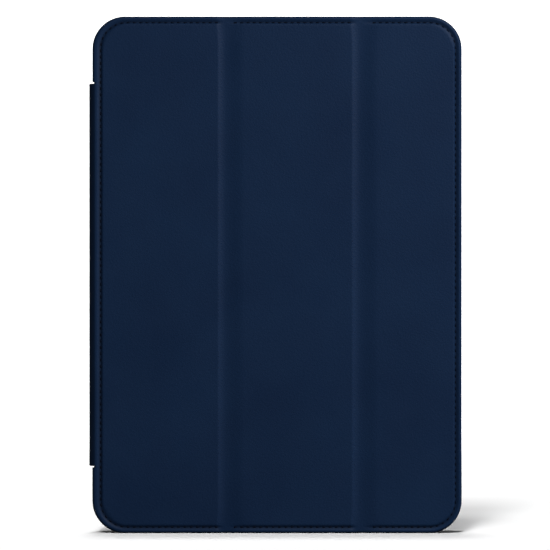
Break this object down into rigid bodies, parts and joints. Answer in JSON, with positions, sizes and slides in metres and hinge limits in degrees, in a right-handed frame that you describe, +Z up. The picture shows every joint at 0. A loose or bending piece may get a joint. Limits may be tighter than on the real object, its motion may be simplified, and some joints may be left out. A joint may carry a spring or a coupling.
{
  "type": "tablet keyboard case",
  "caption": "Navy leatherette tri-fold folio for a tablet, with a moulded tray at the back and a slim magnetic wireless keyboard inside.",
  "frame": {"origin": "centre of the closed case's footprint, on the surface that its short edge stands on", "axes": "+X to the right, from the spine to the free edge; +Y to the back, from the front cover to the back cover; +Z up, along the long edge"},
  "size_m": [0.1832, 0.019, 0.254],
  "materials": {
    "leatherette": "fine-grained navy leatherette, satin",
    "thread": "twisted sewing thread, dark navy",
    "stiffener": "pressed fibreboard, matte",
    "microfibre": "brushed microfibre, matte",
    "tray_plastic": "fine-textured moulded polymer",
    "magnet": "nickel-plated",
    "steel": "brushed",
    "keyboard_shell": "fine-textured moulded polymer",
    "keycap": "matte, lightly worn",
    "switch_plastic": "satin",
    "film": "translucent polyester film",
    "silicone": "soft silicone",
    "link_plastic": "moulded acetal",
    "cell_foil": "foil pouch",
    "laminate": "solder-masked laminate",
    "foot_rubber": "matte rubber",
    "light_pipe": "frosted"
  },
  "bodies": {
    "back_cover": {"back_skin": "leatherette", "back_board": "stiffener", "back_stitching": "thread", "back_magnets": "magnet", "tablet_tray": "tray_plastic", "tray_lining": "microfibre"},
    "tray_power_button": {"power_button": "tray_plastic"},
    "tray_volume_up": {"volume_up_button": "tray_plastic"},
    "tray_volume_down": {"volume_down_button": "tray_plastic"},
    "spine": {"spine_skin": "leatherette", "spine_board": "stiffener", "spine_lining": "microfibre", "spine_back_crease": "leatherette", "spine_front_crease": "leatherette"},
    "inner_panel": {"inner_panel_skin": "leatherette", "inner_panel_board": "stiffener", "inner_panel_lining": "microfibre", "inner_panel_stitching": "thread", "inner_panel_magnets": "magnet", "inner_crease": "leatherette"},
    "middle_panel": {"middle_panel_skin": "leatherette", "middle_panel_board": "stiffener", "middle_panel_lining": "microfibre", "middle_panel_stitching": "thread", "dock_plates": "steel", "outer_crease": "leatherette"},
    "outer_panel": {"outer_panel_skin": "leatherette", "outer_panel_board": "stiffener", "outer_panel_lining": "microfibre", "outer_panel_stitching": "thread", "outer_panel_magnets": "magnet"},
    "keyboard": {"keyboard_base": "keyboard_shell", "keyboard_frame": "keyboard_shell", "key_plate": "steel", "membrane_sheet": "film", "rubber_domes": "silicone", "scissor_supports": "link_plastic", "battery_cell": "cell_foil", "circuit_board": "laminate", "charge_port": "steel", "keyboard_magnets": "magnet", "rubber_feet": "foot_rubber", "status_lights": "light_pipe"},
    "keyboard_power_switch": {"power_switch": "switch_plastic"},
    "keyboard_pair_button": {"pair_button": "switch_plastic"},
    "pressed_keys_function_row": {"keys_function_row": "keycap"},
    "pressed_keys_number_row": {"keys_number_row": "keycap"},
    "pressed_key_backspace": {"key_backspace": "keycap"},
    "pressed_key_tab": {"key_tab": "keycap"},
    "pressed_keys_upper_row": {"keys_upper_row": "keycap"},
    "pressed_key_caps_lock": {"key_caps_lock": "keycap"},
    "pressed_keys_home_row": {"keys_home_row": "keycap"},
    "pressed_key_enter": {"key_enter": "keycap"},
    "pressed_key_left_shift": {"key_left_shift": "keycap"},
    "pressed_keys_lower_row": {"keys_lower_row": "keycap"},
    "pressed_key_right_shift": {"key_right_shift": "keycap"},
    "pressed_keys_left_modifiers": {"keys_left_modifiers": "keycap"},
    "pressed_key_space_bar": {"key_space_bar": "keycap"},
    "pressed_keys_right_modifiers": {"keys_right_modifiers": "keycap"},
    "pressed_keys_arrows": {"keys_arrows": "keycap"}
  },
  "joints": [
    {"name": "cover_back_fold", "type": "hinge", "parent": "back_cover", "child": "spine", "pos_m": [-0.0907, 0.0086, 0.127], "axis": [0, 0, -1], "range_deg": [0, 90], "deforming": ["spine_back_crease"]},
    {"name": "cover_front_fold", "type": "hinge", "parent": "spine", "child": "inner_panel", "pos_m": [-0.0907, -0.0086, 0.127], "axis": [0, 0, -1], "range_deg": [0, 90], "deforming": ["spine_front_crease"]},
    {"name": "crease_inner_fold", "type": "hinge", "parent": "inner_panel", "child": "middle_panel", "pos_m": [-0.0245, -0.00845, 0.127], "axis": [0, 0, 1], "range_deg": [-125, 0], "deforming": ["inner_crease"]},
    {"name": "crease_outer_fold", "type": "hinge", "parent": "middle_panel", "child": "outer_panel", "pos_m": [0.0414, -0.00845, 0.127], "axis": [0, 0, 1], "range_deg": [-105, 0], "deforming": ["outer_crease"]},
    {"name": "detach_keyboard", "type": "slide", "parent": "middle_panel", "child": "keyboard", "axis": [-1, 0, 0], "range_m": [-0.12, 0]},
    {"name": "press_tray_power", "type": "slide", "parent": "back_cover", "child": "tray_power_button", "axis": [0, 0, 1], "range_m": [-0.0003, 0], "stiffness_N_per_m": 400},
    {"name": "press_tray_volume_up", "type": "slide", "parent": "back_cover", "child": "tray_volume_up", "axis": [1, 0, 0], "range_m": [-0.0003, 0], "stiffness_N_per_m": 400},
    {"name": "press_tray_volume_down", "type": "slide", "parent": "back_cover", "child": "tray_volume_down", "axis": [1, 0, 0], "range_m": [-0.0003, 0], "stiffness_N_per_m": 400},
    {"name": "press_pair_button", "type": "slide", "parent": "keyboard", "child": "keyboard_pair_button", "axis": [0, 1, 0], "range_m": [-0.0004, 0], "stiffness_N_per_m": 400},
    {"name": "slide_power_switch", "type": "slide", "parent": "keyboard", "child": "keyboard_power_switch", "axis": [0, 0, -1], "range_m": [0, 0.003]},
    {"name": "keys_function_row_press", "type": "slide", "parent": "keyboard", "child": "pressed_keys_function_row", "axis": [0, 1, 0], "range_m": [-0.001, 0], "stiffness_N_per_m": 4200},
    {"name": "keys_number_row_press", "type": "slide", "parent": "keyboard", "child": "pressed_keys_number_row", "axis": [0, 1, 0], "range_m": [-0.001, 0], "stiffness_N_per_m": 3900},
    {"name": "key_backspace_press", "type": "slide", "parent": "keyboard", "child": "pressed_key_backspace", "axis": [0, 1, 0], "range_m": [-0.001, 0], "stiffness_N_per_m": 300},
    {"name": "key_tab_press", "type": "slide", "parent": "keyboard", "child": "pressed_key_tab", "axis": [0, 1, 0], "range_m": [-0.001, 0], "stiffness_N_per_m": 300},
    {"name": "keys_upper_row_press", "type": "slide", "parent": "keyboard", "child": "pressed_keys_upper_row", "axis": [0, 1, 0], "range_m": [-0.001, 0], "stiffness_N_per_m": 3900},
    {"name": "key_caps_lock_press", "type": "slide", "parent": "keyboard", "child": "pressed_key_caps_lock", "axis": [0, 1, 0], "range_m": [-0.001, 0], "stiffness_N_per_m": 300},
    {"name": "keys_home_row_press", "type": "slide", "parent": "keyboard", "child": "pressed_keys_home_row", "axis": [0, 1, 0], "range_m": [-0.001, 0], "stiffness_N_per_m": 3300},
    {"name": "key_enter_press", "type": "slide", "parent": "keyboard", "child": "pressed_key_enter", "axis": [0, 1, 0], "range_m": [-0.001, 0], "stiffness_N_per_m": 300},
    {"name": "key_left_shift_press", "type": "slide", "parent": "keyboard", "child": "pressed_key_left_shift", "axis": [0, 1, 0], "range_m": [-0.001, 0], "stiffness_N_per_m": 300},
    {"name": "keys_lower_row_press", "type": "slide", "parent": "keyboard", "child": "pressed_keys_lower_row", "axis": [0, 1, 0], "range_m": [-0.001, 0], "stiffness_N_per_m": 3000},
    {"name": "key_right_shift_press", "type": "slide", "parent": "keyboard", "child": "pressed_key_right_shift", "axis": [0, 1, 0], "range_m": [-0.001, 0], "stiffness_N_per_m": 300},
    {"name": "keys_left_modifiers_press", "type": "slide", "parent": "keyboard", "child": "pressed_keys_left_modifiers", "axis": [0, 1, 0], "range_m": [-0.001, 0], "stiffness_N_per_m": 1200},
    {"name": "key_space_bar_press", "type": "slide", "parent": "keyboard", "child": "pressed_key_space_bar", "axis": [0, 1, 0], "range_m": [-0.001, 0], "stiffness_N_per_m": 300},
    {"name": "keys_right_modifiers_press", "type": "slide", "parent": "keyboard", "child": "pressed_keys_right_modifiers", "axis": [0, 1, 0], "range_m": [-0.001, 0], "stiffness_N_per_m": 600},
    {"name": "keys_arrows_press", "type": "slide", "parent": "keyboard", "child": "pressed_keys_arrows", "axis": [0, 1, 0], "range_m": [-0.001, 0], "stiffness_N_per_m": 1200, "deforming": ["rubber_domes", "scissor_supports"]}
  ]
}
